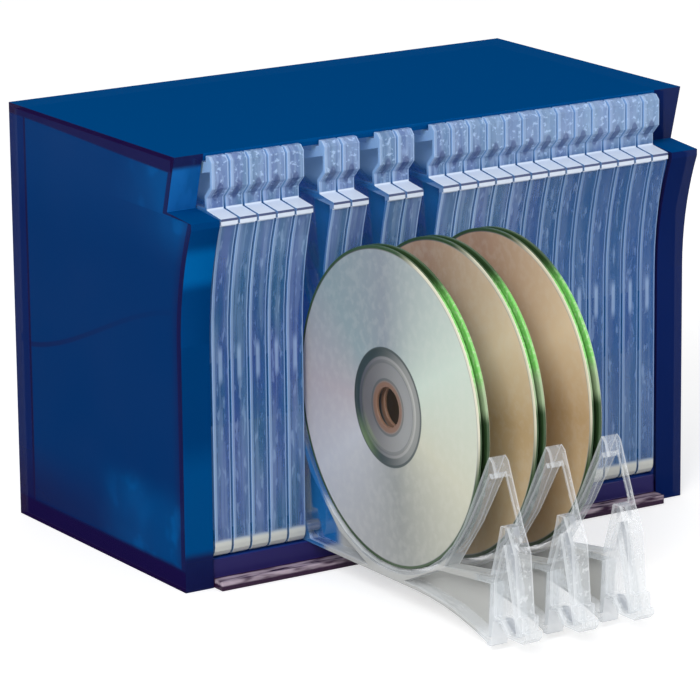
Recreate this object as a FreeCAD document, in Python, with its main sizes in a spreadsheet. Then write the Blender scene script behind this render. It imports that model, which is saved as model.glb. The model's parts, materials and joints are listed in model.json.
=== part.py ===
import FreeCAD, Part
import math
import os
import re
import Sketcher

# Desktop storage box for compact discs. A case, open at the front, holds a row of trays on one rod.
# Origin: middle of the underside of the case. +X to the right, -Y to the front, +Z up, millimetres.

doc = FreeCAD.newDocument("disc_box")

# Driving sizes

SIZES = {
    # the disc, which the rest is built around
    "disc_radius": 60.0,
    "disc_bore_radius": 7.5,
    "disc_thick": 1.2,
    "disc_clearance": 0.3,
    "disc_play": 0.5,
    "disc_drop": 1.0,
    # the tray, seen from the side while it is closed
    "tray_wall": 0.9,
    "tray_skin": 1.5,
    "tray_web": 1.2,
    "divider_thick": 1.2,
    "divider_deep": 5.0,
    "divider_root": 0.4,
    "spine_depth": 4.3,
    "heel_radius": 4.6,
    "clip_mouth": 3.2,
    "lip_over_disc": 8.5,
    "lip_height": 2.5,
    "lip_proud": 8.4,
    "lip_bead": 0.9,
    "lip_curve_rise": 46.0,
    "ledge_slope": 1.5,
    "recess_height": 4.5,
    "recess_behind_lip": 10.0,
    "tab_slope": 4.0,
    "tab_behind_lip": 6.0,
    "tab_height": 12.0,
    "tab_chamfer": 2.0,
    "tab_deep": 9.5,
    "tab_face_deep": 4.2,
    "tab_under_gap": 0.6,
    "tab_below_top": 1.0,
    "stop_gap": 0.3,
    "neck_crown_back": 24.5,
    "neck_tip_back": 33.5,
    "neck_tip_drop": 3.0,
    "neck_tip_wide": 4.0,
    "neck_tip_deep": 5.0,
    "neck_tip_rim": 6.5,
    "neck_root_back": 13.5,
    "window_rim": 3.4,
    "window_from_horn": 4.5,
    "window_under_neck": 3.6,
    "pocket_rim": 3.0,
    "heel_rim": 2.0,
    "low_pocket_end": 11.0,
    "low_pocket_top": 5.2,
    "curve_mid_reach": 0.4,
    "curve_mid_rise": 23.0,
    "horn_over_disc": 9.5,
    "horn_forward": 4.5,
    "horn_tip_wide": 1.5,
    "horn_thick": 2.0,
    "low_horn_drop": 9.0,
    "tray_gap": 0.75,
    # the rod and what carries it
    "rod_radius": 2.0,
    "rod_running": 0.05,
    "rod_end_gap": 0.3,
    "pivot_height": 15.5,
    "pivot_setback": 2.8,
    "ear_thick": 3.0,
    "ear_radius": 3.9,
    "ear_gap": 0.3,
    # the case
    "case_wall": 2.6,
    "top_thick": 2.8,
    "sweep_clearance": 3.0,
    "cheek_width": 12.3,
    "cheek_gap": 0.6,
    "cheek_skin": 1.6,
    "cheek_proud": 0.3,
    "cheek_lip_proud": 1.0,
    "cheek_recess": 6.0,
    "case_base_thick": 3.2,
    "sill_gap": 0.3,
    "sill_front": 1.2,
    "sill_depth": 9.0,
    "front_lip": 8.0,
    "front_lip_thick": 3.6,
    "rear_clearance": 0.8,
    "back_thick": 2.0,
    "back_inset": 1.0,
    "back_rib_height": 70.0,
    "back_rib_wide": 3.0,
    "back_rib_proud": 1.4,
    "panel_gap": 0.15,
    "overrun": 5.0,
}

COUNTS = {
    "tray_count": 25,
    "open_tray_count": 3,
    "closed_before_count": 5,
    "closed_between_count": 2,
    "cradle_flat_count": 11,
    "divider_flat_count": 7,
    "heel_flat_count": 5,
    "bore_flat_count": 12,
    "lip_flat_count": 5,
}

# Sizes that follow from the driving ones. A reach is forward of the pivot axis and a rise is above it.

DERIVED = {
    "tray_width": "2 * disc_thick + divider_thick + 4 * disc_play + 2 * tray_wall",
    "tray_pitch": "tray_width + tray_gap",
    "cradle_radius": "disc_radius + disc_clearance",
    "disc_back": "cradle_radius + spine_depth - heel_radius",
    "disc_rise": "disc_radius - disc_drop",
    "disc_off": "(divider_thick + disc_thick) / 2 + disc_play",
    "lip_top": "disc_rise + disc_radius + lip_over_disc",
    "lip_low": "lip_top - lip_height",
    "lip_reach": "heel_radius + lip_proud",
    "curve_start": "lip_low - lip_curve_rise",
    "curve_run": "lip_proud - lip_bead",
    "curve_radius": "(curve_run ^ 2 + lip_curve_rise ^ 2) / (2 * curve_run)",
    "recess_low": "lip_top + ledge_slope",
    "recess_high": "recess_low + recess_height",
    "recess_reach": "lip_reach - recess_behind_lip",
    "tab_reach": "lip_reach - tab_behind_lip",
    "tab_low": "recess_high + tab_slope",
    "tab_top": "tab_low + tab_height",
    "tab_back": "tab_deep - tab_reach",
    "tab_face_back": "tab_reach - tab_face_deep",
    "case_height": "pivot_height + tab_top + tab_below_top",
    "top_under": "case_height - top_thick",
    "tab_shoulder": "top_under - pivot_height - tab_under_gap",
    "sweep_radius": "top_under - pivot_height - sweep_clearance",
    "neck_rise_front": "sqrt(sweep_radius ^ 2 - tab_back ^ 2)",
    "neck_rise_crown": "sqrt(sweep_radius ^ 2 - neck_crown_back ^ 2)",
    "neck_rise_tip": "sqrt(sweep_radius ^ 2 - neck_tip_back ^ 2) - neck_tip_drop",
    "horn_back": "disc_back - horn_forward",
    "horn_top": "disc_rise + disc_radius + horn_over_disc",
    "horn_low": "disc_rise - disc_radius - low_horn_drop",
    "case_depth": "pivot_setback + disc_back + disc_radius + rear_clearance + back_thick + back_inset",
    "case_width": "tray_count * tray_pitch + 2 * (cheek_width + cheek_gap)",
    "pivot_y": "pivot_setback - case_depth / 2",
    "stack_half": "(tray_count * tray_pitch - tray_gap) / 2",
    "cheek_front": "heel_radius - pivot_setback + cheek_proud",
    "cheek_lip": "lip_reach - pivot_setback + cheek_lip_proud",
    "cheek_lip_run": "cheek_lip - cheek_front",
    "cheek_curve_radius": "(cheek_lip_run ^ 2 + lip_curve_rise ^ 2) / (2 * cheek_lip_run)",
    "cheek_inside": "cheek_front - cheek_skin - panel_gap",
    "sill_top": "pivot_height - heel_radius - sill_gap",
    "rear_face": "case_depth - back_inset",
}

sheet = doc.addObject("Spreadsheet::Sheet", "Sizes")


def add_row(row, word, content):
    sheet.set(f"A{row}", word)
    sheet.set(f"B{row}", content)
    sheet.setAlias(f"B{row}", word)


rows = {word: str(number) for word, number in {**SIZES, **COUNTS}.items()}
rows.update({word: "=" + formula for word, formula in DERIVED.items()})
for row, (word, content) in enumerate(rows.items(), start=1):
    add_row(row, word, content)
doc.recompute()


# Bodies, sketches and features, with every size bound to the sheet


def bound(text):
    return re.sub(r"(?!sqrt)\b[a-z][a-z_]*", lambda found: "Sizes." + found.group(), str(text))


def size(text):
    return float(sheet.evalExpression(bound(text)))


def count(word):
    return round(size(word))


def new_body(label):
    body = doc.addObject("PartDesign::Body", label)
    body.Label = label
    return body


def new_sketch(body, name, offset=None):
    """A sketch across the row of trays: its own x is +Y and its own y is +Z."""
    sketch = body.newObject("Sketcher::SketchObject", name)
    side_plane = next(p for p in body.Origin.OriginFeatures if p.Role == "YZ_Plane")
    sketch.AttachmentSupport = (side_plane, [""])
    sketch.MapMode = "FlatFace"
    if offset is not None:
        sketch.setExpression("AttachmentOffset.Base.z", bound(offset))
    return sketch


def fix_point(sketch, geometry, place, spot):
    """Ties one point of the sketch to two lengths."""
    for kind, text in zip(("DistanceX", "DistanceY"), spot):
        mark = sketch.addConstraint(Sketcher.Constraint(kind, -1, 1, geometry, place, size(text)))
        sketch.setExpression(f"Constraints[{mark}]", bound(text))


def draw_outline(sketch, spots):
    """A closed outline of straight lines through points given as pairs of lengths."""
    corners = [FreeCAD.Vector(size(y), size(z), 0) for y, z in spots]
    first = sketch.GeometryCount
    for start, end in zip(corners, corners[1:] + corners[:1]):
        sketch.addGeometry(Part.LineSegment(start, end))
    last = first + len(spots) - 1
    for line in range(first, last + 1):
        follower = first if line == last else line + 1
        sketch.addConstraint(Sketcher.Constraint("Coincident", line, 2, follower, 1))
    for line, spot in enumerate(spots, start=first):
        fix_point(sketch, line, 1, spot)


def draw_circle(sketch, spot, radius):
    centre = FreeCAD.Vector(size(spot[0]), size(spot[1]), 0)
    circle = sketch.addGeometry(Part.Circle(centre, FreeCAD.Vector(0, 0, 1), size(radius)))
    fix_point(sketch, circle, 3, spot)
    mark = sketch.addConstraint(Sketcher.Constraint("Radius", circle, size(radius)))
    sketch.setExpression(f"Constraints[{mark}]", bound(radius))


def extrude(body, kind, name, sketch, length, both_ways=True):
    """A pad or a pocket, to both sides of its sketch or to one."""
    feature = body.newObject("PartDesign::" + kind, name)
    feature.Profile = sketch
    feature.SideType = "Symmetric" if both_ways else "One side"
    feature.Length = size(length)
    feature.setExpression("Length", bound(length))
    sketch.Visibility = False
    return feature


# Outlines are lists of (reach, rise). On a tray they count from the pivot axis, and the front faces -Y.


def from_pivot(spots):
    return [(f"-({reach})", rise) for reach, rise in spots]


def on_cradle(shares, radius):
    """A point that lies from the disc's centre in the direction of the shares."""
    reach_share, rise_share = shares
    return (f"{reach_share} * ({radius}) - disc_back", f"{rise_share} * ({radius}) + disc_rise")


LOW_POCKET_SHARES = ((0.862, -0.508), (0.574, -0.819))
HIGH_POCKET_SHARE = (0.84, 0.54)
POCKET_MID_SHARE = 0.2
WINDOW_SHARES = ((0.8, 0.6), (0.5, 0.866))
CRADLE_HALF_TURN = math.radians(58)
DIVIDER_HALF_TURN = math.radians(50)
HEEL_TURN = math.radians(120)


def arc_shares(half_turn, flats):
    """The corners of flats that touch a unit circle, from the top of an arc round the disc's centre down."""
    step = 2 * half_turn / flats
    turns = [half_turn - step * flat for flat in range(flats + 1)]
    reach_out = 1 / math.cos(step / 2)
    return [(round(reach_out * math.cos(turn), 5), round(reach_out * math.sin(turn), 5)) for turn in turns]


def cradle_floor():
    """The floor under the rims of the discs."""
    pairs = arc_shares(CRADLE_HALF_TURN, count("cradle_flat_count"))
    return [on_cradle(pair, "cradle_radius") for pair in pairs]


def divider_outline():
    """The crescent that stands on the cradle's floor between the two discs."""
    pairs = arc_shares(DIVIDER_HALF_TURN, count("divider_flat_count"))
    root = [on_cradle(pair, "cradle_radius + divider_root") for pair in pairs]
    edge = [on_cradle(pair, "disc_radius - divider_deep") for pair in reversed(pairs)]
    return root + edge


def bore_outline(spot, radius):
    """A running hole, as flats that touch its circle."""
    across, up = spot
    flats = count("bore_flat_count")
    pairs = arc_shares(math.pi, flats)[:flats]
    return [(f"{across} + {reach} * ({radius})", f"{up} + {rise} * ({radius})") for reach, rise in pairs]


def heel_outline():
    """The round heel that rolls past the sill, from its front down and back."""
    flats = count("heel_flat_count")
    turns = [-HEEL_TURN * flat / flats for flat in range(flats + 1)]
    return [(f"{math.cos(turn):.5f} * heel_radius", f"{math.sin(turn):.5f} * heel_radius") for turn in turns]


def lip_curve():
    """The hollow curve from the straight front of the spine out to the bead under the finger lip."""
    spots = []
    flats = count("lip_flat_count")
    for flat in range(flats + 1):
        rise = f"{flat / flats} * lip_curve_rise"
        reach = f"heel_radius + curve_radius - sqrt(curve_radius ^ 2 - ({rise}) ^ 2)"
        spots.append((reach, f"curve_start + {rise}"))
    return spots


TRAY_OUTLINE = [
    *reversed(heel_outline()),
    *lip_curve(),
    ("lip_reach", "lip_low"),
    ("lip_reach", "lip_top"),
    ("recess_reach", "recess_low"),
    ("recess_reach", "recess_high"),
    ("tab_reach", "tab_low"),
    ("tab_reach", "tab_top - tab_chamfer"),
    ("tab_reach - tab_chamfer", "tab_top"),
    ("tab_face_back", "tab_top"),
    ("tab_face_back", "tab_shoulder"),
    ("-tab_back", "tab_shoulder"),
    ("-tab_back", "neck_rise_front"),
    ("-neck_crown_back", "neck_rise_crown"),
    ("-neck_tip_back", "neck_rise_tip"),
    ("-horn_back", "horn_top"),
    ("-horn_back - horn_tip_wide", "horn_top - horn_thick"),
    *cradle_floor(),
    ("-horn_back", "horn_low"),
]

# The open triangle between the cradle, the outer leg and the neck
WINDOW = [
    on_cradle(WINDOW_SHARES[0], "cradle_radius + window_rim"),
    on_cradle(WINDOW_SHARES[1], "cradle_radius + horn_thick"),
    ("-horn_back + window_from_horn", "horn_top - tray_skin"),
    ("-neck_tip_back - tray_skin", "neck_rise_tip - window_under_neck"),
    ("-neck_tip_back + neck_tip_wide", "neck_rise_tip - neck_tip_deep"),
    ("-neck_root_back", "recess_low - tray_skin"),
]

# The outer leg is only as thick as the web, so that it springs
LEG_CUT = [
    ("-horn_back + window_from_horn + horn_thick", "horn_top - tray_skin"),
    ("-horn_back + window_from_horn", "horn_top + overrun"),
    ("-neck_tip_back", "neck_rise_tip + overrun"),
    ("-neck_tip_back", "neck_rise_tip - neck_tip_deep"),
]

# The mouth by which the heel snaps onto the rod
CLIP_MOUTH = [
    ("-clip_mouth / 2", "-heel_radius - overrun"),
    ("clip_mouth / 2", "-heel_radius - overrun"),
    ("clip_mouth / 2", "0"),
    ("-clip_mouth / 2", "0"),
]

# The hollow between the heel and the middle of the disc
LOW_POCKET = [
    ("heel_radius - tray_skin", "heel_radius + heel_rim"),
    ("heel_radius - tray_skin", f"disc_rise - {POCKET_MID_SHARE} * disc_radius"),
    on_cradle(LOW_POCKET_SHARES[0], "cradle_radius + pocket_rim"),
    on_cradle(LOW_POCKET_SHARES[1], "cradle_radius + pocket_rim"),
    ("-horn_back + low_pocket_end", "horn_low + low_pocket_top"),
    ("-heel_radius - heel_rim", "-heel_radius + pocket_rim"),
    ("-heel_radius - heel_rim", "heel_rim"),
]

# The hollow behind the finger lip
HIGH_POCKET = [
    ("heel_radius - tray_skin", f"disc_rise + {POCKET_MID_SHARE} * disc_radius"),
    ("heel_radius - tray_skin", "curve_start + tray_skin"),
    ("heel_radius + curve_mid_reach", "curve_start + curve_mid_rise"),
    ("lip_reach - 2 * tray_skin", "lip_low - tray_skin"),
    ("lip_reach - 2 * tray_skin", "lip_top - tray_skin"),
    ("-neck_root_back + pocket_rim", "recess_low - tray_skin"),
    on_cradle(HIGH_POCKET_SHARE, "cradle_radius + pocket_rim"),
]

# The hollow inside the tab and its neck
TAB_POCKET = [
    ("recess_reach - tray_skin", "recess_low + tray_skin / 2"),
    ("recess_reach - tray_skin", "recess_high + tray_skin / 2"),
    ("tab_reach - tray_skin", "tab_low + tray_skin / 2"),
    ("tab_reach - tray_skin", "neck_rise_front - tray_skin / 2"),
    ("-neck_tip_back + neck_tip_rim", "neck_rise_tip - horn_thick"),
    ("-neck_root_back + horn_thick", "recess_low + tray_skin / 2"),
]


# Tray: a web on its right side and a full width rim, closed, with the pivot axis as its origin


def make_tray_form():
    body = new_body("tray_form")
    outline = new_sketch(body, "tray_outline")
    draw_outline(outline, from_pivot(TRAY_OUTLINE))
    extrude(body, "Pad", "tray_block", outline, "tray_width")
    openings = new_sketch(body, "through_cuts")
    draw_outline(openings, bore_outline(("0", "0"), "rod_radius + rod_running"))
    draw_outline(openings, from_pivot(WINDOW))
    extrude(body, "Pocket", "through_cut", openings, "tray_width + overrun")
    mouth = new_sketch(body, "clip_mouth_outline")
    draw_outline(mouth, from_pivot(CLIP_MOUTH))
    extrude(body, "Pocket", "clip_mouth", mouth, "tray_width + overrun")
    pockets = new_sketch(body, "side_hollows", "tray_width / 2 - tray_web")
    for spots in (LOW_POCKET, HIGH_POCKET, TAB_POCKET, LEG_CUT):
        draw_outline(pockets, from_pivot(spots))
    extrude(body, "Pocket", "side_hollow", pockets, "tray_width", both_ways=False)
    divider = new_sketch(body, "divider_outline")
    draw_outline(divider, from_pivot(divider_outline()))
    extrude(body, "Pad", "divider", divider, "divider_thick")
    return body


def make_disc_form():
    body = new_body("disc_form")
    ring = new_sketch(body, "disc_ring")
    draw_circle(ring, ("0", "0"), "disc_radius")
    draw_circle(ring, ("0", "0"), "disc_bore_radius")
    extrude(body, "Pad", "disc_plate", ring, "disc_thick")
    return body


# Case pieces: reaches count from the plane of the top's front corners


def from_corner(spots):
    return [(f"-({reach}) - case_depth / 2", rise) for reach, rise in spots]


CASE_OUTLINE = [
    ("-case_depth", "0"),
    ("cheek_front", "0"),
    ("cheek_front", "pivot_height + curve_start"),
    ("cheek_lip", "pivot_height + curve_start"),
    ("cheek_lip", "pivot_height + lip_top"),
    ("-cheek_recess", "pivot_height + recess_low"),
    ("0", "case_height"),
    ("-case_depth", "case_height"),
]

# The room between the cheeks, under and in front of the top
ROOM = [
    ("-case_depth - overrun", "-overrun"),
    ("cheek_lip + overrun", "-overrun"),
    ("cheek_lip + overrun", "case_height + overrun"),
    ("tab_face_back - stop_gap - pivot_setback", "case_height + overrun"),
    ("tab_face_back - stop_gap - pivot_setback", "top_under"),
    ("-case_depth - overrun", "top_under"),
]

# The hollow behind a cheek's front
CHEEK_HOLLOW = [
    ("-case_depth - overrun", "-overrun"),
    ("cheek_front - cheek_skin", "-overrun"),
    ("cheek_front - cheek_skin", "pivot_height + curve_start"),
    ("cheek_front - cheek_skin + curve_mid_reach", "pivot_height + curve_start + lip_curve_rise / 2"),
    ("cheek_lip - 2 * cheek_skin", "pivot_height + lip_low - cheek_skin"),
    ("cheek_lip - 2 * cheek_skin", "pivot_height + lip_top - cheek_skin"),
    ("-cheek_recess - cheek_skin", "pivot_height + lip_top - cheek_skin"),
    ("-cheek_recess - cheek_skin", "top_under"),
    ("-case_depth - overrun", "top_under"),
]


def make_case_shell():
    body = new_body("case_shell")
    outline = new_sketch(body, "case_outline")
    draw_outline(outline, from_corner(CASE_OUTLINE))
    extrude(body, "Pad", "case_block", outline, "case_width")
    room = new_sketch(body, "room_outline")
    draw_outline(room, from_corner(ROOM))
    extrude(body, "Pocket", "room", room, "case_width - 2 * cheek_width")
    hollow = new_sketch(body, "cheek_hollow_outline")
    draw_outline(hollow, from_corner(CHEEK_HOLLOW))
    extrude(body, "Pocket", "cheek_hollow", hollow, "case_width - 2 * case_wall")
    curve = new_sketch(body, "cheek_curve_circle")
    centre = ("cheek_front + cheek_curve_radius", "pivot_height + curve_start")
    draw_circle(curve, from_corner([centre])[0], "cheek_curve_radius")
    extrude(body, "Pocket", "cheek_curve", curve, "case_width + overrun")


BASE_OUTLINE = [
    ("-rear_face", "0"),
    ("front_lip", "0"),
    ("front_lip", "front_lip_thick"),
    ("sill_front", "front_lip_thick"),
    ("sill_front", "sill_top"),
    ("sill_front - sill_depth", "sill_top"),
    ("sill_front - sill_depth", "case_base_thick"),
    ("-rear_face", "case_base_thick"),
]

# The part of the bottom that runs on behind the cheeks
BASE_WING = [
    ("-rear_face", "0"),
    ("cheek_inside", "0"),
    ("cheek_inside", "case_base_thick"),
    ("-rear_face", "case_base_thick"),
]

# The post that carries one end of the rod, behind the front of a cheek
EAR_POST = [
    ("-pivot_setback - ear_radius", "case_base_thick / 2"),
    ("cheek_inside", "case_base_thick / 2"),
    ("cheek_inside", "pivot_height + ear_radius / 2"),
    ("-pivot_setback + ear_radius / 2", "pivot_height + ear_radius"),
    ("-pivot_setback - ear_radius / 2", "pivot_height + ear_radius"),
    ("-pivot_setback - ear_radius", "pivot_height + ear_radius / 2"),
]


def make_base_panel():
    body = new_body("base_panel")
    middle = new_sketch(body, "base_outline")
    draw_outline(middle, from_corner(BASE_OUTLINE))
    extrude(body, "Pad", "base_middle", middle, "case_width - 2 * cheek_width - 2 * panel_gap")
    wing = new_sketch(body, "base_wing_outline")
    draw_outline(wing, from_corner(BASE_WING))
    extrude(body, "Pad", "base_wings", wing, "case_width - 2 * case_wall - 2 * panel_gap")
    post = new_sketch(body, "ear_post_outline", "stack_half + ear_gap + ear_thick")
    draw_outline(post, from_corner(EAR_POST))
    posts = extrude(body, "Pad", "ear_post", post, "ear_thick", both_ways=False)
    posts.Reversed = True
    mirrored = body.newObject("PartDesign::Mirrored", "left_ear")
    mirrored.Originals = [posts]
    side_plane = next(p for p in body.Origin.OriginFeatures if p.Role == "YZ_Plane")
    mirrored.MirrorPlane = (side_plane, [""])
    body.Tip = mirrored
    bore = new_sketch(body, "ear_bore_outline")
    draw_outline(bore, bore_outline(("pivot_y", "pivot_height"), "rod_radius + rod_running"))
    extrude(body, "Pocket", "ear_bore", bore, "case_width")


BACK_OUTLINE = [
    ("back_thick - rear_face", "case_base_thick + panel_gap"),
    ("back_thick - rear_face", "top_under - panel_gap"),
    ("-rear_face", "top_under - panel_gap"),
    ("-rear_face", "back_rib_height + back_rib_wide"),
    ("-rear_face - back_rib_proud", "back_rib_height + back_rib_wide"),
    ("-rear_face - back_rib_proud", "back_rib_height"),
    ("-rear_face", "back_rib_height"),
    ("-rear_face", "case_base_thick + panel_gap"),
]


def make_back_panel():
    body = new_body("back_panel")
    outline = new_sketch(body, "back_outline")
    draw_outline(outline, from_corner(BACK_OUTLINE))
    extrude(body, "Pad", "back_plate", outline, "case_width - 2 * case_wall - 2 * panel_gap")


def make_pivot_rod():
    body = new_body("pivot_rod")
    circle = new_sketch(body, "rod_circle")
    draw_circle(circle, ("pivot_y", "pivot_height"), "rod_radius")
    extrude(body, "Pad", "rod", circle, "case_width - 2 * case_wall - 2 * rod_end_gap")


# The row: every tray on the rod, and two discs in each open one

QUARTER_TURN = FreeCAD.Rotation(FreeCAD.Vector(1, 0, 0), 90)


def place(body, spot):
    for axis, text in zip("xyz", spot):
        body.setExpression(f"Placement.Base.{axis}", bound(text))


def copy_of(form, label):
    body = new_body(label)
    body.BaseFeature = form
    return body


def open_numbers():
    """The numbers of the trays that stand open, counted from the left."""
    first = count("closed_before_count") + 1
    step = count("closed_between_count") + 1
    return [first + step * turn for turn in range(count("open_tray_count"))]


def tray_x(number):
    return f"({number} - (tray_count + 1) / 2) * tray_pitch"


def add_trays(form):
    for number in range(1, count("tray_count") + 1):
        tray = copy_of(form, f"tray_{number:02d}")
        if number in open_numbers():
            tray.Placement.Rotation = QUARTER_TURN
        place(tray, (tray_x(number), "pivot_y", "pivot_height"))


def add_discs(form):
    for number in open_numbers():
        for side, sign in (("left", "-"), ("right", "+")):
            disc = copy_of(form, f"disc_{number:02d}_{side}")
            across = f"{tray_x(number)} {sign} disc_off"
            place(disc, (across, "pivot_y - disc_rise", "pivot_height + disc_back"))


def check_objects():
    for thing in doc.Objects:
        if {"Invalid", "Error"} & set(thing.State):
            raise RuntimeError(f"{thing.Label}: {thing.State}")


def write_parts(bodies):
    os.makedirs("parts", exist_ok=True)
    for body in bodies:
        if body.Shape.isNull() or not body.Shape.isValid() or len(body.Shape.Solids) != 1:
            raise RuntimeError(f"{body.Label}: not one valid solid")
        body.Shape.exportStep(f"parts/{body.Label}.step")


make_case_shell()
make_base_panel()
make_back_panel()
make_pivot_rod()
tray_form = make_tray_form()
disc_form = make_disc_form()
doc.recompute()
add_trays(tray_form)
add_discs(disc_form)
doc.recompute()
check_objects()
forms = (tray_form, disc_form)
kept = [thing for thing in doc.Objects if thing.TypeId == "PartDesign::Body" and thing not in forms]
write_parts(kept)
print(f"{len(kept)} pieces in a case {size('case_width')} x {size('case_depth')} x {size('case_height')}")
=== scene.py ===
import json
import math

import bmesh
import bpy
from mathutils import Matrix, Vector


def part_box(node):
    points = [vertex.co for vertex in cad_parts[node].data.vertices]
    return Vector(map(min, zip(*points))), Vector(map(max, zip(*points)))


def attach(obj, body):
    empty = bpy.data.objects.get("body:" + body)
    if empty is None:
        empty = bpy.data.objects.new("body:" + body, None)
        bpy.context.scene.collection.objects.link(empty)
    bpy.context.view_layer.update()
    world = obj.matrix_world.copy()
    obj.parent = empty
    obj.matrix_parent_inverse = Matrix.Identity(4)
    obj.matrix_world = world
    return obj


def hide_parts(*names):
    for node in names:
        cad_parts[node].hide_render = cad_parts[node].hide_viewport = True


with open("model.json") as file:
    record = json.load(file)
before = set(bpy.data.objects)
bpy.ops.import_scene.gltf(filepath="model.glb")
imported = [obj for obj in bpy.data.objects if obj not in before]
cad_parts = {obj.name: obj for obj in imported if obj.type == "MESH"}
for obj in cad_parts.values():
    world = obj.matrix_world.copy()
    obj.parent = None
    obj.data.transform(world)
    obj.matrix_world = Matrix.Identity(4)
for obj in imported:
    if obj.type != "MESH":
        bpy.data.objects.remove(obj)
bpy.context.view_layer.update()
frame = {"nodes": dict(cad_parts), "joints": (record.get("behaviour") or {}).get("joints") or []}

nodes = frame["nodes"]
MM = 0.001


# Case shell. One blue moulding makes the top, the sides and both hollow cheeks at the front.
# It is a clear plastic with a deep tint. Its thick edges gather the tint and turn purple, its walls are a
# little see-through, and a faint painted light of its inner faces stands for the light that comes through
# them.
# Lighter blue patches are painted light shining through the walls, some faces are painted lighter to make up
# for the shade they stand in, and the right cheek and a band near the front are painted darker as shade.
class Wire:
    """A socket among a material's nodes. Arithmetic on wires adds Math nodes."""

    def __init__(self, tree, socket=None):
        self.tree = tree
        self.socket = socket

    def node(self, kind, settings, sockets, output=0):
        """Any node: its settings go in first, then the values or wires of its sockets."""
        node = self.tree.nodes.new("ShaderNode" + kind)
        for name, setting in settings.items():
            setattr(node, name, setting)
        for key, content in sockets.items():
            if isinstance(content, Wire):
                self.tree.links.new(content.socket, node.inputs[key])
            else:
                node.inputs[key].default_value = content
        return Wire(self.tree, node.outputs[output] if node.outputs else None)

    def other(self, output):
        """Another output of the same node."""
        return Wire(self.tree, self.socket.node.outputs[output])

    def maths(self, operation, *terms):
        return self.node("Math", {"operation": operation}, dict(enumerate(terms)))

    def __add__(self, term):
        return self.maths("ADD", self, term)

    def __sub__(self, term):
        return self.maths("SUBTRACT", self, term)

    def __rsub__(self, term):
        return self.maths("SUBTRACT", term, self)

    def __mul__(self, term):
        return self.maths("MULTIPLY", self, term)

    def __abs__(self):
        return self.maths("ABSOLUTE", self)

    __radd__ = __add__
    __rmul__ = __mul__

    def ease(self, start, end):
        """0 before start and 1 past end, with a soft step between them."""
        span = {"Value": self, "From Min": start, "From Max": end}
        return self.node("MapRange", {"interpolation_type": "SMOOTHSTEP"}, span)

    def between(self, low, high, soft):
        """1 from low to high, falling off over a soft edge."""
        return self.ease(low - soft, low) * (1 - self.ease(high, high + soft))

    def blend(self, first, second):
        """A colour that goes from the first to the second with this wire."""
        return self.node("Mix", {"data_type": "RGBA"}, {0: self, 6: first, 7: second}, output=2)


def paint(*levels):
    """A colour given as it shows on a screen, from 0 to 255, in the shader's own terms."""
    shares = [level / 255 for level in levels]
    return (*(s / 12.92 if s <= 0.04045 else ((s + 0.055) / 1.055) ** 2.4 for s in shares), 1)


def new_finish(name):
    """An empty material, with a wire to start its nodes from."""
    material = bpy.data.materials.new(name)
    material.use_nodes = True
    material.node_tree.nodes.clear()
    return material, Wire(material.node_tree)


def spot_of(start):
    """The place on the piece and the way its surface faces, both in the piece's own axes."""
    place = start.node("TexCoord", {}, {}, output="Object")
    return [place.node("SeparateXYZ", {}, {0: source}) for source in (place, place.other("Normal"))]


def cloud_of(start, scale):
    """A soft random pattern fixed to the piece, with about this many patches to a metre."""
    place = start.node("TexCoord", {}, {}, output="Object")
    return start.node("TexNoise", {}, {"Vector": place, "Scale": scale})


def grain_of(start, along_x, along_yz):
    """A soft random pattern drawn out one way, with so many patches to a metre along x and along y and z."""
    spot, _ = spot_of(start)
    parts = {"X": along_x * spot, "Y": along_yz * spot.other("Y"), "Z": along_yz * spot.other("Z")}
    return start.node("TexNoise", {}, {"Vector": start.node("CombineXYZ", {}, parts), "Scale": 1.0})


def most(first, *others):
    """The largest of several wires or numbers."""
    for term in others:
        first = first.maths("MAXIMUM", first, term)
    return first


def close_finish(start, sockets):
    """The surface shader and the material's output."""
    shader = start.node("BsdfPrincipled", {}, sockets)
    start.node("OutputMaterial", {}, {"Surface": shader})


def wear(piece, material):
    piece.data.materials.clear()
    piece.data.materials.append(material)


def round_edges(piece, width):
    """The small radius that a mould leaves on every edge."""
    weld = piece.modifiers.new("weld", "WELD")
    weld.merge_threshold = 0.005 * MM
    bevel = piece.modifiers.new("edge_radius", "BEVEL")
    bevel.width = width
    bevel.segments = 2
    bevel.limit_method = "ANGLE"
    bevel.angle_limit = math.radians(25)
    bevel.use_clamp_overlap = True


CASE_TOP_BLUE = paint(0, 68, 127)
CASE_SIDE_BLUE = paint(4, 50, 106)
CASE_CHEEK_BLUE = paint(0, 62, 122)
# Painted light: CASE_GLOW_BLUE is the lighter blue where light shines through the walls.
CASE_GLOW_BLUE = paint(0, 98, 170)
# Painted light: the top's front strip between the cheeks is painted lighter than the top, against its shade.
CASE_STRIP_LIT_BLUE = paint(0, 78, 142)
# Painted light: the cheeks' fronts above the ledge are painted lighter, for the light they lose by leaning
# down.
CASE_STEP_LIT_BLUE = paint(28, 126, 212)
# The inner faces take a lighter blue, and a faint painted light that is brighter higher up.
CASE_ROOM_BLUE = paint(6, 84, 160)
CASE_ROOM_LIGHT = paint(0, 36, 84)
CASE_ROOM_HIGH_LIGHT = paint(40, 84, 140)
ROOM_HIGH_START, ROOM_HIGH_END = 116 * MM, 150 * MM
CASE_UNLIT = paint(0, 0, 0)
CASE_EDGE_AND_SHADE_PURPLE = paint(28, 12, 62)
CASE_BACK_NAVY = paint(14, 34, 90)
CASE_EDGE_RADIUS = 0.5 * MM
SHEET_EDGE_RADIUS = 0.3 * MM
TOP_BAND_BACK = 4 * MM
TOP_BAND_FRONT = 6.5 * MM
FOOT_BAND = 10.5 * MM
FOOT_FADE = 36 * MM
BACK_BAND = 12.5 * MM
LEDGE_RISE = 143 * MM
CHEEK_INNER = 102.5 * MM
CHEEK_FRONT = -65.4 * MM
CHEEK_CURVE_START = 94.5 * MM
CHEEK_CURVE_RADIUS = 120.8 * MM
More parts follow.
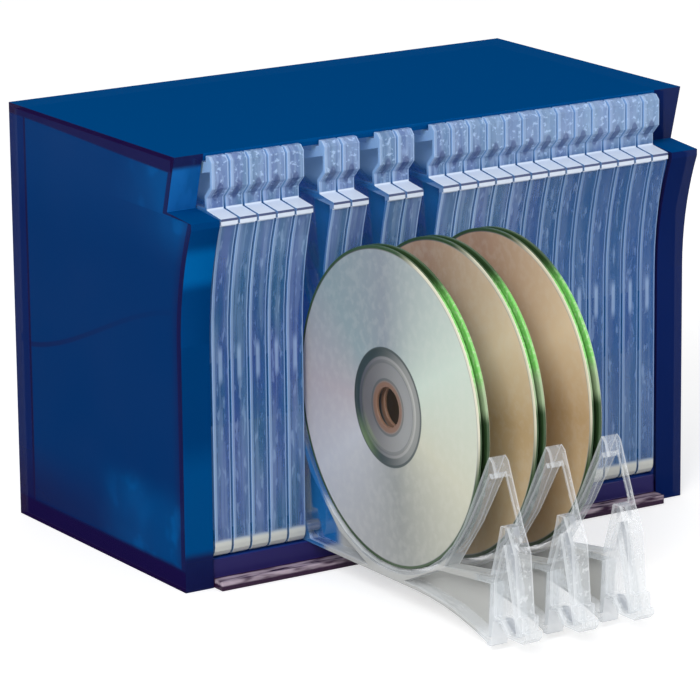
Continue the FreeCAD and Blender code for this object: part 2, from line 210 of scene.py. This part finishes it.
TOP_FRONT = -63.3 * MM
TOP_LEAN = 0.28
LINE_WIDTH = 2.6 * MM
LIP_SHADE_DEPTH = 9 * MM
SEAM_BACK, SEAM_FRONT = 71 * MM, 108 * MM
SEAM_HALF_WIDTH = 0.6 * MM
GLOW_FADE = 16 * MM
HIGH_GLOW_LOW, HIGH_GLOW_HIGH = 140 * MM, 158 * MM
HIGH_GLOW_START, HIGH_GLOW_END = 4 * MM, 46 * MM
LOW_GLOW_LOW, LOW_GLOW_HIGH = 14 * MM, 26 * MM
LOW_GLOW_START, LOW_GLOW_END = 30 * MM, 70 * MM
CHEEK_GLOW_LOW, CHEEK_GLOW_HIGH = 121 * MM, 129 * MM
CHEEK_FOOT_GLOW_LOW, CHEEK_FOOT_GLOW_HIGH = 18 * MM, 44 * MM
CHEEK_TOP_DARK, CHEEK_TOP_CLEAR = 3.5 * MM, 6 * MM
CHEEK_FOOT_DARK, CHEEK_FOOT_CLEAR = 12 * MM, 16 * MM
RIGHT_DARK_END = 50 * MM
CASE_HIDES = 0.9
TOP_HIDES = 0.985
case_low, case_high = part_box("case_shell")


def blue_finish(name):
    """The case's tinted plastic. It is told apart by place into top, side, back band, cheeks and room."""
    material, start = new_finish(name)
    spot, facing = spot_of(start)
    depth, rise = spot.other("Y"), spot.other("Z")
    side = abs(facing).ease(0.4, 0.7)
    up = facing.other("Z").ease(0.5, 0.8)
    front = (1 - side) * (1 - facing.other("Y").ease(-0.5, 0))
    skin = abs(spot).ease(case_high.x - 1.5 * MM, case_high.x - 1 * MM)
    cheek_side = abs(spot).ease(CHEEK_INNER - 0.5 * MM, CHEEK_INNER)
    along = depth.ease(case_high.y, case_low.y)
    patches = cloud_of(start, 26).ease(0.4, 0.62)
    flecks = grain_of(start, 160, 75).ease(0.5, 0.66)

    curve = most(rise - CHEEK_CURVE_START, 0)
    low_front = CHEEK_FRONT - curve * curve * (0.5 / CHEEK_CURVE_RADIUS)
    high_front = TOP_FRONT + TOP_LEAN * (case_high.z - rise)
    above = rise.ease(LEDGE_RISE, LEDGE_RISE + 0.5 * MM)
    behind = depth - (low_front + above * (high_front - low_front))

    top_low = case_high.z - TOP_BAND_BACK - (TOP_BAND_FRONT - TOP_BAND_BACK) * along
    top_band = (rise - top_low).ease(-0.5 * MM, 0.5 * MM)
    foot_fade = 1 - rise.ease(FOOT_BAND, FOOT_FADE)
    foot_band = most(1 - rise.ease(FOOT_BAND - 3 * MM, FOOT_BAND), 0.6 * foot_fade * (1 - along))
    back_band = depth.ease(case_high.y - BACK_BAND, case_high.y - BACK_BAND + 1 * MM)
    back_line = depth.between(case_high.y - BACK_BAND, case_high.y - BACK_BAND + 0.8 * MM, 0.6 * MM)
    front_line = 0.85 * (1 - behind.ease(LINE_WIDTH, LINE_WIDTH + 0.8 * MM))
    lip_shade = 0.55 * (1 - above) * (1 - behind.ease(0, LIP_SHADE_DEPTH))
    seam_rise = SEAM_BACK + (SEAM_FRONT - SEAM_BACK) * along
    seam_line = (rise - seam_rise).between(-SEAM_HALF_WIDTH, SEAM_HALF_WIDTH, 0.8 * MM)
    seam = (0.5 - 0.4 * along) * seam_line * (1 - back_band)

    # Painted light: lighter blue patches high and low near the front of the sides, for light shining through
    # the walls.
    glow_high = rise.between(HIGH_GLOW_LOW, HIGH_GLOW_HIGH, GLOW_FADE)
    glow_high = glow_high * (1 - behind.ease(HIGH_GLOW_START, HIGH_GLOW_END))
    glow_low = rise.between(LOW_GLOW_LOW, LOW_GLOW_HIGH, GLOW_FADE)
    glow_low = glow_low * (1 - behind.ease(LOW_GLOW_START, LOW_GLOW_END))
    glow = (0.6 * glow_high + glow_low) * (0.3 + 0.3 * patches + 0.4 * flecks)
    side_blue = glow.blend(CASE_SIDE_BLUE, CASE_GLOW_BLUE)
    side_blue = back_band.blend(side_blue, CASE_BACK_NAVY)
    # Purple lines at the edges and the seam, purple fading up from the foot, and painted shade along the
    # front of the sides below the ledge height.
    dark = most(back_line, top_band, foot_band, front_line, lip_shade, seam)
    side_blue = dark.blend(side_blue, CASE_EDGE_AND_SHADE_PURPLE)

    # Painted light on the cheeks: a lighter band below the ledge, another near the foot, and flecks above the
    # ledge.
    foot_glow = rise.between(CHEEK_FOOT_GLOW_LOW, CHEEK_FOOT_GLOW_HIGH, GLOW_FADE)
    cheek_glow = rise.between(CHEEK_GLOW_LOW, CHEEK_GLOW_HIGH, 6 * MM) + 0.35 * foot_glow
    cheek_glow = most(cheek_glow, 0.5 * flecks * above)
    # Above the ledge the cheeks take the lighter blue that is painted against their shade.
    cheek = above.blend(CASE_CHEEK_BLUE, CASE_STEP_LIT_BLUE)
    cheek = cheek_glow.blend(cheek, CASE_GLOW_BLUE)
    cheek = (above * 0.35 * patches).blend(cheek, CASE_BACK_NAVY)
    cheek_top = rise.ease(case_high.z - CHEEK_TOP_CLEAR, case_high.z - CHEEK_TOP_DARK)
    cheek_foot = 0.8 * (1 - rise.ease(CHEEK_FOOT_DARK, CHEEK_FOOT_CLEAR))
    cheek = most(0.9 * cheek_top, cheek_foot).blend(cheek, CASE_EDGE_AND_SHADE_PURPLE)
    # Painted shade: the right cheek turns navy.
    cheek = spot.ease(0, RIGHT_DARK_END).blend(cheek, CASE_BACK_NAVY)
    # The front strip between the cheeks takes its lighter painted blue.
    strip = cheek_side.blend(CASE_STRIP_LIT_BLUE, cheek)

    blue = front.blend(side_blue, strip)
    blue = up.blend(blue, CASE_TOP_BLUE)
    # Inside the case the faces are painted a lighter blue and given a faint painted light, for the light
    # through the walls.
    room = most(side * (1 - skin), (1 - side) * (1 - cheek_side) * (1 - up))
    room = room * behind.ease(3 * MM, 6 * MM) * (1 - facing.other("Y").ease(0.3, 0.6))
    blue = room.blend(blue, CASE_ROOM_BLUE)
    room_light = rise.ease(ROOM_HIGH_START, ROOM_HIGH_END).blend(CASE_ROOM_LIGHT, CASE_ROOM_HIGH_LIGHT)
    close_finish(start, {
        "Base Color": blue,
        "Roughness": 0.3,
        "Alpha": CASE_HIDES + (TOP_HIDES - CASE_HIDES) * up,
        "Specular IOR Level": 0.0,
        "Coat Weight": 0.05 * cloud_of(start, 30) * (1 - up) * rise.ease(FOOT_BAND - 2 * MM, FOOT_BAND),
        "Coat Roughness": 0.08,
        "Emission Color": room.blend(CASE_UNLIT, room_light),
        "Emission Strength": 1.0,
    })
    return material


case_blue = blue_finish("case_blue")
wear(nodes["case_shell"], case_blue)
round_edges(nodes["case_shell"], CASE_EDGE_RADIUS)


# Base. The blue bottom clips into the shell, and carries the sill, the front lip and both ears of the rod.
# Its front lip is thick and lit from the table, so it looks a greyish mauve.
BASE_LIP_MAUVE = paint(196, 178, 192)
BASE_LIP_DARK = paint(54, 28, 58)
BASE_DARK_BLUE = paint(32, 64, 148)
BASE_PURPLE = paint(48, 8, 44)
LIP_START = -66 * MM
LIP_DARK_HIGH = 2.4 * MM

base_mauve, start = new_finish("base_mauve")
spot, facing = spot_of(start)
lip = 1 - spot.other("Y").ease(LIP_START, LIP_START + 0.5 * MM)
streaks = grain_of(start, 90, 500)
lip_light = spot.other("Z").ease(LIP_DARK_HIGH - 0.8 * MM, LIP_DARK_HIGH) * streaks.ease(0.3, 0.65)
# The sill turns dark purple close to the lip: partly its own colour, partly painted shadow under the trays'
# heels.
near_lip = 1 - spot.other("Y").ease(LIP_START + 0.5 * MM, LIP_START + 3 * MM)
sill = near_lip.blend(BASE_DARK_BLUE, BASE_PURPLE)
close_finish(start, {
    "Base Color": lip.blend(sill, lip_light.blend(BASE_LIP_DARK, BASE_LIP_MAUVE)),
    "Roughness": 0.2 + 0.1 * streaks,
    "Alpha": 0.97 - 0.05 * lip,
    "Specular IOR Level": 0.1,
})
wear(nodes["base_panel"], base_mauve)
round_edges(nodes["base_panel"], SHEET_EDGE_RADIUS)


# Back panel. A flat sheet of the same blue plastic closes the back, inset between the case's side walls.
# One stiffening rib runs across its middle.
wear(nodes["back_panel"], case_blue)
round_edges(nodes["back_panel"], SHEET_EDGE_RADIUS)


# Pivot rod. A drawn steel rod that all the trays turn on, held by the ears behind the cheeks.
# The heels of the trays hide it but for its ends.
ROD_DARK = paint(150, 152, 158)
ROD_LIGHT = paint(196, 198, 204)

rod_steel, start = new_finish("rod_steel")
drawn = grain_of(start, 40, 4000)
close_finish(start, {
    "Base Color": drawn.blend(ROD_DARK, ROD_LIGHT),
    "Metallic": 1.0,
    "Roughness": 0.25 + 0.15 * drawn,
})
wear(nodes["pivot_rod"], rod_steel)


# Trays. Each is one clear moulding: a web on its right side, and a rim round the cradle for two discs.
# Its edges carry painted highlights, and inside the case it is painted blue, for the light that reaches it
# through blue walls.
# Reach and rise count forward and up from the rod, as on a closed tray.
hinges = [joint for joint in frame["joints"] if joint["type"] == "hinge"]
open_trays = [joint["child"] for joint in hinges if joint["range_deg"][0] < 0]
pivot = Vector(hinges[0]["pos_m"])
tray_pitch = hinges[1]["pos_m"][0] - pivot.x
tray_low, tray_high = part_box("tray_01")
tray_half_width = (tray_high.x - tray_low.x) / 2
CLEAR_BODY = paint(222, 229, 234)
CLEAR_BRIGHT = paint(246, 249, 252)
CLEAR_DARK = paint(138, 144, 154)
CLEAR_SLAB = paint(196, 197, 194)
INDOOR_TEAL = paint(20, 94, 146)
INDOOR_VIOLET = paint(50, 80, 160)
INDOOR_DEEP = paint(14, 84, 152)
INDOOR_SIDE = paint(30, 112, 186)
INDOOR_LIGHT = paint(14, 46, 62)
INDOOR_TAB_LIGHT = paint(54, 70, 70)
INDOOR_BRIGHT = paint(190, 218, 255)
INDOOR_DARK = paint(24, 44, 104)
HEEL_WHITE = paint(214, 216, 210)
LEDGE_LOW = 124.6 * MM
LEDGE_HIGH = 129.4 * MM
LIP_LINE = 127 * MM
TAB_LOW = 137.5 * MM
BROW_LOW, BROW_HIGH = 96 * MM, 118 * MM
FOOT_LOW, FOOT_HIGH = 20 * MM, 60 * MM
DASH_LOW, DASH_HIGH = 66 * MM, 74 * MM
SPINE_START, SPINE_END = 14 * MM, 116 * MM
CRADLE_BACK = 59 * MM
CRADLE_RISE = 60 * MM
CRADLE_RADIUS = 61 * MM
TRAY_EDGE_RADIUS = 0.25 * MM
INDOOR_END, INDOOR_START = 8 * MM, 1 * MM
TAB_LIGHT_START, TAB_LIGHT_END = TAB_LOW - 10 * MM, TAB_LOW - 4 * MM
RIGHT_END = 60 * MM
LIP_LINE_HALF_WIDTH = 0.4 * MM
HEEL_LOW, HEEL_HIGH = 1 * MM, 3 * MM
OVAL_MIDDLE, OVAL_HALF_HEIGHT = TAB_LOW - 1.5 * MM, 4.5 * MM
SPINE_BACK, SPINE_FRONT = -16 * MM, -10 * MM
LOW_BACK, LOW_FRONT = -24 * MM, -12 * MM
HIDES_AT_MOST = 0.95


def clear_finish(name, opened):
    """The trays' clear plastic, painted the blue of the light through the case walls where it stands inside
    the case.
    """
    material, start = new_finish(name)
    spot, facing = spot_of(start)
    if opened:
        reach = pivot.z - spot.other("Z")
        rise = pivot.y - spot.other("Y")
        forward = -1 * facing.other("Z")
    else:
        reach = pivot.y - spot.other("Y")
        rise = spot.other("Z") - pivot.z
        forward = -1 * facing.other("Y")
    world_place = start.node("NewGeometry", {}, {}, output="Position")
    world_depth = start.node("SeparateXYZ", {}, {0: world_place}, output="Y")
    indoors = world_depth.ease(tray_low.y - INDOOR_END, tray_low.y - INDOOR_START)
    turns = (spot - pivot.x) * (1 / tray_pitch) + 0.5
    across = (turns.maths("FRACT", turns) - 0.5) * (tray_pitch / tray_half_width)
    middle_off = abs(across)
    flank = abs(facing).ease(0.5, 0.8)
    rim = 1 - flank
    tab = rise.ease(TAB_LIGHT_START, TAB_LIGHT_END)
    brow = rise.ease(BROW_LOW, BROW_HIGH)
    # Painted shade: the trays right of the middle get a deeper blue, weaker highlights and streaks, but
    # lighter tabs.
    right = spot.ease(0, RIGHT_END)

    # Painted highlights: bright lines along each tray's edges, the lit top of the ledge, a white heel, glints
    # on the tabs, scattered bright specks and a short highlight across the middle of the front at mid height.
    edge_highlight = rim * most(middle_off.ease(0.8, 0.9), 0.7 * (1 - across.ease(-0.72, -0.6)))
    ledge = rim * rise.between(LEDGE_LOW, LEDGE_HIGH, 0.3 * MM) * reach.ease(-4 * MM, 0)
    # Painted shade: a thin dark line under the ledge's lip.
    lip_line = (rise - LIP_LINE).between(-LIP_LINE_HALF_WIDTH, LIP_LINE_HALF_WIDTH, 0.2 * MM)
    lip_line = rim * lip_line * forward.ease(0.5, 0.8)
    heel = rim * (1 - rise.ease(HEEL_LOW, HEEL_HIGH))
    # Painted shade: a dark oval in the shadowed recess under each tab.
    oval_rise = (rise - OVAL_MIDDLE) * (1 / OVAL_HALF_HEIGHT)
    oval = rim * (1 - (across * across * 4.5 + oval_rise * oval_rise).ease(0.5, 1.1))
    dash_highlight = rim * rise.between(DASH_LOW, DASH_HIGH, 5 * MM) * (1 - middle_off.ease(0.1, 0.35))
    cloud = cloud_of(start, 120)
    # Painted highlights: thin vertical streaks.
    highlight_streak = grain_of(start, 520, 26).ease(0.42, 0.62)
    glint_dots = rim * cloud_of(start, 520).ease(0.54, 0.68)
    glint_dashes = rim * grain_of(start, 620, 150).ease(0.56, 0.7)
    light = most((0.6 - 0.15 * right) * edge_highlight, 0.9 * ledge, heel)
    light = most(light, 0.6 * tab * glint_dots, 0.28 * glint_dashes, 0.5 * dash_highlight)
    shade = most(0.9 * lip_line, 0.7 * oval)

    # Painted light: inside the case the body is painted the blue of the light through the case walls.
    blue = grain_of(start, 110, 14).ease(0.4, 0.6).blend(INDOOR_TEAL, INDOOR_VIOLET)
    blue = (0.8 * right * (1 - tab)).blend(blue, INDOOR_DEEP)
    blue = flank.blend(blue, INDOOR_SIDE)
    body = indoors.blend(CLEAR_BODY, blue)
    bright = indoors.blend(CLEAR_BRIGHT, INDOOR_BRIGHT)
    # Painted light lightens the body: the highlight streaks, more towards the foot, just below the ledge and
    # on the tabs, over random lighter clouds.
    tone_and_light_lift = 0.02 + 0.1 * cloud + 0.22 * highlight_streak * (1 - 0.5 * right) + 0.1 * (1 - rise.ease(FOOT_LOW, FOOT_HIGH))
    tone_and_light_lift = tone_and_light_lift + 0.2 * brow * (1 - tab) * (1 - right) + (0.3 + 0.2 * right) * tab
    tint = (rim * tone_and_light_lift + 0.45 * flank * tab).blend(body, bright)
    tint = light.blend(tint, bright)
    tint = (0.6 * ledge).blend(tint, CLEAR_BRIGHT)
    tint = shade.blend(tint, indoors.blend(CLEAR_DARK, INDOOR_DARK))
    tint = heel.blend(tint, HEEL_WHITE)
    back, up = -1 * reach - CRADLE_BACK, rise - CRADLE_RISE
    under = back.maths("SQRT", back * back + up * up).ease(CRADLE_RADIUS - 1 * MM, CRADLE_RADIUS)
    spine = under * reach.ease(SPINE_BACK, SPINE_FRONT) * rise.between(SPINE_START, SPINE_END, 6 * MM)
    slab = (0.5 + 0.5 * flank) * spine * (1 - indoors)
    tint = slab.blend(tint, CLEAR_SLAB)

    low = reach.ease(LOW_BACK, LOW_FRONT)
    # The painted highlights and shade also make the plastic less clear.
    marks = 0.4 * light + 0.5 * shade
    clear = (0.2 + 0.12 * low) * rim + (0.12 + 0.1 * low) * flank + 0.5 * slab + marks
    shown = 0.25 + 0.75 * reach.ease(0.5 * MM, 2.5 * MM)
    filled = (0.5 + 0.4 * tab) * flank + shown * (0.55 * rim + marks)
    hide = clear + indoors * (filled - clear)
    # Painted light: inside the case the trays' sides glow faintly, more at the tabs, for the light through
    # the case walls.
    glow = (indoors * flank).blend(CASE_UNLIT, tab.blend(INDOOR_LIGHT, INDOOR_TAB_LIGHT))
    close_finish(start, {
        "Base Color": tint,
        "Roughness": 0.08 + 0.1 * cloud,
        "Alpha": hide.maths("MINIMUM", hide, HIDES_AT_MOST),
        "Specular IOR Level": 0.0,
        "Coat Weight": 0.1 + 0.4 * rim,
        "Coat Roughness": 0.06,
        "Emission Color": glow,
        "Emission Strength": 1.0,
    })
    return material


clear_closed = clear_finish("clear_closed", opened=False)
clear_open = clear_finish("clear_open", opened=True)
for joint in hinges:
    tray = nodes[joint["child"]]
    wear(tray, clear_open if joint["child"] in open_trays else clear_closed)
    round_edges(tray, TRAY_EDGE_RADIUS)


# Discs. Moulded polycarbonate, 1.2 mm thick, with a clear hub, a raised stacking ring and a reflective layer.
# Two stand in each open tray, loose in the cradle, and their rims show the green of the layer's dye, with a
# painted highlight along their upper part. Their faces carry a painted sheen, and their hubs painted light
# and shade.
DISC_HALF_THICK = 0.6 * MM
BORE_RADIUS = 7.5 * MM
RING_RADIUS = 17.2 * MM
RING_WIDTH = 0.6 * MM
RING_RISE = 0.15 * MM
LAYER_INNER = 22.5 * MM
LAYER_OUTER = 58.4 * MM
DISC_RADIUS = 60 * MM
RIM_ROUND = 0.25 * MM
DISC_TURNS = 144
SHARP_EDGE = math.radians(30)
HUB_BAND_INNER, HUB_BAND_OUTER = 19.2 * MM, 21.9 * MM
HUB_GREEN_INNER, HUB_GREEN_OUTER = 16 * MM, 21.5 * MM
BORE_LINE_INNER, BORE_LINE_OUTER = BORE_RADIUS + 1.6 * MM, BORE_RADIUS + 2.8 * MM
BORE_EDGE_INNER, BORE_EDGE_OUTER = BORE_RADIUS + 2.6 * MM, BORE_RADIUS + 3.2 * MM
INNER_FADE_START, INNER_FADE_END = 46 * MM, 56 * MM
SILVER_TRAYS = 6
# Painted sheen: the conic reflections on a disc's face, listed by the turn round its middle.
SILVER_SHEEN = {
    0.0: paint(184, 176, 180),
    0.1: paint(196, 198, 204),
    0.28: paint(152, 155, 152),
    0.44: paint(206, 206, 186),
    0.58: paint(204, 219, 206),
    0.76: paint(143, 152, 160),
    0.88: paint(146, 164, 168),
    1.0: paint(184, 176, 180),
}
GOLD_SHEEN = {
    0.0: paint(186, 158, 126),
    0.42: paint(212, 188, 150),
    0.5: paint(194, 167, 127),
    0.6: paint(226, 208, 176),
    0.78: paint(174, 144, 123),
    1.0: paint(186, 158, 126),
}
DATA_FACE = paint(146, 178, 146)
FACE_BORDER = paint(228, 224, 202)
FACE_BRUSHED = paint(226, 226, 218)
HUB_SHADE = paint(104, 103, 108)
HUB_LIGHT = paint(190, 191, 188)
HUB_DARK = paint(56, 72, 70)
HUB_GREEN = paint(150, 178, 116)
BORE_BROWN = paint(150, 108, 80)
RIM_DARK = paint(52, 78, 46)
RIM_BRIGHT = paint(128, 208, 106)
RIM_PALE = paint(196, 220, 176)


def disc_profile():
    """Half of the disc's cut, as radius and distance off its middle, from the bore out."""
    face = DISC_HALF_THICK
    return [
        (BORE_RADIUS, face - RIM_ROUND),
        (BORE_RADIUS + RIM_ROUND, face),
        (RING_RADIUS - RING_WIDTH, face),
        (RING_RADIUS - RING_WIDTH / 2, face + RING_RISE),
        (RING_RADIUS + RING_WIDTH / 2, face + RING_RISE),
        (RING_RADIUS + RING_WIDTH, face),
        (LAYER_INNER, face),
        (LAYER_OUTER, face),
        (DISC_RADIUS - RIM_ROUND, face),
        (DISC_RADIUS, face - RIM_ROUND),
    ]


def turned_disc(name, middle):
    """A closed ring of the profile and its mirror image, turned about the disc's own axis."""
    half = disc_profile()
    loop = half + [(radius, -off) for radius, off in reversed(half)]
    shape = bmesh.new()
    rings = []
    for turn in range(DISC_TURNS):
        angle = 2 * math.pi * turn / DISC_TURNS
        out = Vector((0, math.cos(angle), math.sin(angle)))
        rings.append([shape.verts.new(middle + out * radius + Vector((off, 0, 0))) for radius, off in loop])
    for turn, ring in enumerate(rings):
        following = rings[(turn + 1) % DISC_TURNS]
        for spot in range(len(loop)):
            beyond = (spot + 1) % len(loop)
            shape.faces.new((ring[spot], ring[beyond], following[beyond], following[spot]))
    bmesh.ops.recalc_face_normals(shape, faces=shape.faces)
    mesh = bpy.data.meshes.new(name)
    shape.to_mesh(mesh)
    shape.free()
    mesh.shade_smooth()
    mesh.set_sharp_from_angle(angle=SHARP_EDGE)
    disc = bpy.data.objects.new(name, mesh)
    bpy.context.scene.collection.objects.link(disc)
    return disc


def sheen_round(wire, stops):
    """A colour that changes along the wire from 0 to 1, by the stops."""
    ramp = wire.node("ValToRGB", {}, {0: wire})
    elements = ramp.socket.node.color_ramp.elements
    while len(elements) < len(stops):
        elements.new(0.5)
    for element, (place, colour) in zip(elements, sorted(stops.items())):
        element.position = place
        element.color = colour
    return ramp


def disc_finish(name, middle, sheen, label_way):
    """A disc's face, hub and rim, told apart by how far they are from its middle."""
    material, start = new_finish(name)
    spot, facing = spot_of(start)
    forward = (middle.y - spot.other("Y")) * (1 / DISC_RADIUS)
    rise = (spot.other("Z") - middle.z) * (1 / DISC_RADIUS)
    share = forward.maths("SQRT", forward * forward + rise * rise)
    radius = share * DISC_RADIUS
    turn = rise.maths("ARCTAN2", rise, forward) * (0.5 / math.pi) + 0.5
    layer = radius.between(LAYER_INNER, LAYER_OUTER, 0.25 * MM)
    border = radius.ease(LAYER_OUTER + 0.2 * MM, LAYER_OUTER + 0.6 * MM)
    rim = (1 - abs(facing).ease(0.3, 0.8)) * radius.ease(LAYER_OUTER, DISC_RADIUS - 0.5 * MM)
    hub_band = radius.between(HUB_BAND_INNER, HUB_BAND_OUTER, 0.5 * MM)
    # The hub's dark band is partly its own line and partly painted shade, stronger towards the back.
    hub_band = hub_band * (0.35 + 0.6 * (1 - forward.ease(-0.2, 0.25)))
    hub_line = radius.between(LAYER_INNER - 0.9 * MM, LAYER_INNER - 0.2 * MM, 0.4 * MM)
    ring_line = radius.between(RING_RADIUS - RING_WIDTH, RING_RADIUS + RING_WIDTH, 0.2 * MM)
    bore_line = 1 - radius.ease(BORE_LINE_INNER, BORE_LINE_OUTER)
    bore_edge = radius.between(BORE_EDGE_INNER, BORE_EDGE_OUTER, 0.4 * MM)
    low_back = (1 - forward.ease(-0.3, -0.05)) * (1 - rise.ease(-0.3, -0.05))
    # Painted highlight on the rim: bright green along its upper part, a pale band and sparkle, dark green
    # elsewhere.
    lit_rim = rise.between(0.4, 0.76, 0.14)
    edge = lit_rim.blend(RIM_DARK, RIM_BRIGHT)
    edge = (0.6 * rise.between(0.2, 0.3, 0.1)).blend(edge, RIM_PALE)
    edge = (0.5 * cloud_of(start, 700).ease(0.5, 0.62) * lit_rim).blend(edge, RIM_PALE)
    outer = (label_way * facing).ease(-0.2, 0.2)
    brushed = 0.12 * cloud_of(start, 300).ease(0.4, 0.7)
    face = brushed.blend(sheen_round(turn, sheen), FACE_BRUSHED)
    # Painted light and shade: the hub is lighter towards the front and darker towards the back.
    hub = forward.ease(-0.34, 0.34).blend(HUB_SHADE, HUB_LIGHT)
    tone = layer.blend(hub, outer.blend(DATA_FACE, face))
    # Painted highlight: the face's outer border is light towards the upper front and dark green elsewhere.
    border_light = forward.ease(0.1, 0.4) * rise.ease(-0.3, 0.1)
    tone = border.blend(tone, outer.blend(edge, border_light.blend(RIM_DARK, FACE_BORDER)))
    tone = ((1 - outer) * radius.ease(INNER_FADE_START, INNER_FADE_END)).blend(tone, edge)
    tone = most(hub_band, 0.8 * hub_line, 0.3 * ring_line, 0.5 * bore_edge).blend(tone, HUB_DARK)
    green = low_back * radius.between(HUB_GREEN_INNER, HUB_GREEN_OUTER, 1 * MM)
    tone = (0.7 * green).blend(tone, HUB_GREEN)
    tone = (0.8 * bore_line).blend(tone, BORE_BROWN)
    tone = rim.blend(tone, edge)
    close_finish(start, {
        "Base Color": tone,
        "Metallic": 0.05 * layer,
        "Roughness": 0.3 + 0.1 * layer,
        "Alpha": 0.72 + 0.28 * most(layer, border),
        "Specular IOR Level": 0.4,
    })
    return material


discs = [joint["child"] for joint in frame["joints"] if joint["type"] == "slide"]
for node in discs:
    low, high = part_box(node)
    middle = (low + high) / 2
    disc = turned_disc(f"{node}_moulding", middle)
    sheen = SILVER_SHEEN if middle.x < tray_low.x + SILVER_TRAYS * tray_pitch else GOLD_SHEEN
    label_way = -1 if node.endswith("left") else 1
    wear(disc, disc_finish(f"{node}_finish", middle, sheen, label_way))
    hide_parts(node)
    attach(disc, node)


# Floor, light and camera. A white table that keeps the soft shadow, under a pale sky and two soft lamps.
# The camera has a long lens, and stands to the front left, a little above the top of the case.
FLOOR_HALF = 8
FLOOR_DROP = 0.05 * MM
FLOOR_GLOW = 0.54
SKY_LIGHT = 0.66
LAMPS = {
    "key": ((-1.4, -1.2, 1.4), 0.9, 30),
    "fill": ((1.5, -1.4, 0.9), 1.0, 10),
}
AIM = Vector((-0.0185, -0.030, 0.0722))
CAMERA_TURN, CAMERA_RISE, CAMERA_ROLL = (math.radians(angle) for angle in (32.432, 14.503, -0.624))
CAMERA_DISTANCE = 1.7545
CAMERA_LENS = 233.2
CAMERA_SIGHT = 20
TABLE_TONES = (paint(215, 215, 215), paint(218, 218, 218))


def seen_directly(start):
    """1 where a ray comes from the camera, or by a reflection or through glass."""
    camera_ray = start.node("LightPath", {}, {}, output="Is Camera Ray")
    return most(camera_ray, camera_ray.other("Is Glossy Ray"), camera_ray.other("Is Transmission Ray"))


floor_white, start = new_finish("floor_white")
paper = start.node("TexNoise", {}, {"Scale": 40.0})
table = start.node("BsdfDiffuse", {}, {"Color": paper.blend(*TABLE_TONES)})
glow = start.node("Emission", {}, {"Color": (1, 1, 1, 1), "Strength": FLOOR_GLOW * seen_directly(start)})
start.node("OutputMaterial", {}, {"Surface": start.node("AddShader", {}, {0: table, 1: glow})})
floor_mesh = bpy.data.meshes.new("floor")
corners = [(x * FLOOR_HALF, y * FLOOR_HALF, -FLOOR_DROP) for x, y in ((-1, -1), (1, -1), (1, 1), (-1, 1))]
floor_mesh.from_pydata(corners, [], [(0, 1, 2, 3)])
floor = bpy.data.objects.new("floor", floor_mesh)
bpy.context.scene.collection.objects.link(floor)
wear(floor, floor_white)

world = bpy.data.worlds.new("pale_sky")
world.use_nodes = True
world.node_tree.nodes.clear()
start = Wire(world.node_tree)
strength = SKY_LIGHT + (1 - SKY_LIGHT) * seen_directly(start)
start.node("OutputWorld", {}, {"Surface": start.node("Background", {}, {"Strength": strength})})
bpy.context.scene.world = world

for name, (place, width, power) in LAMPS.items():
    lamp_data = bpy.data.lights.new(name, "AREA")
    lamp_data.size = width
    lamp_data.energy = power
    lamp = bpy.data.objects.new(name, lamp_data)
    lamp.location = place
    lamp.rotation_mode = "QUATERNION"
    lamp.rotation_quaternion = (AIM - Vector(place)).to_track_quat("-Z", "Y")
    bpy.context.scene.collection.objects.link(lamp)

camera_data = bpy.data.cameras.new("camera")
camera_data.lens = CAMERA_LENS
camera_data.clip_end = CAMERA_SIGHT
camera = bpy.data.objects.new("camera", camera_data)
back_from_aim = Vector((
    -math.sin(CAMERA_TURN) * math.cos(CAMERA_RISE),
    -math.cos(CAMERA_TURN) * math.cos(CAMERA_RISE),
    math.sin(CAMERA_RISE),
))
camera.rotation_mode = "QUATERNION"
upright = (-back_from_aim).to_track_quat("-Z", "Y").to_matrix()
camera.rotation_quaternion = (upright @ Matrix.Rotation(CAMERA_ROLL, 3, "Z")).to_quaternion()
camera.location = AIM + back_from_aim * CAMERA_DISTANCE
bpy.context.scene.collection.objects.link(camera)
bpy.context.scene.camera = camera
bpy.context.scene.view_settings.view_transform = "Standard"
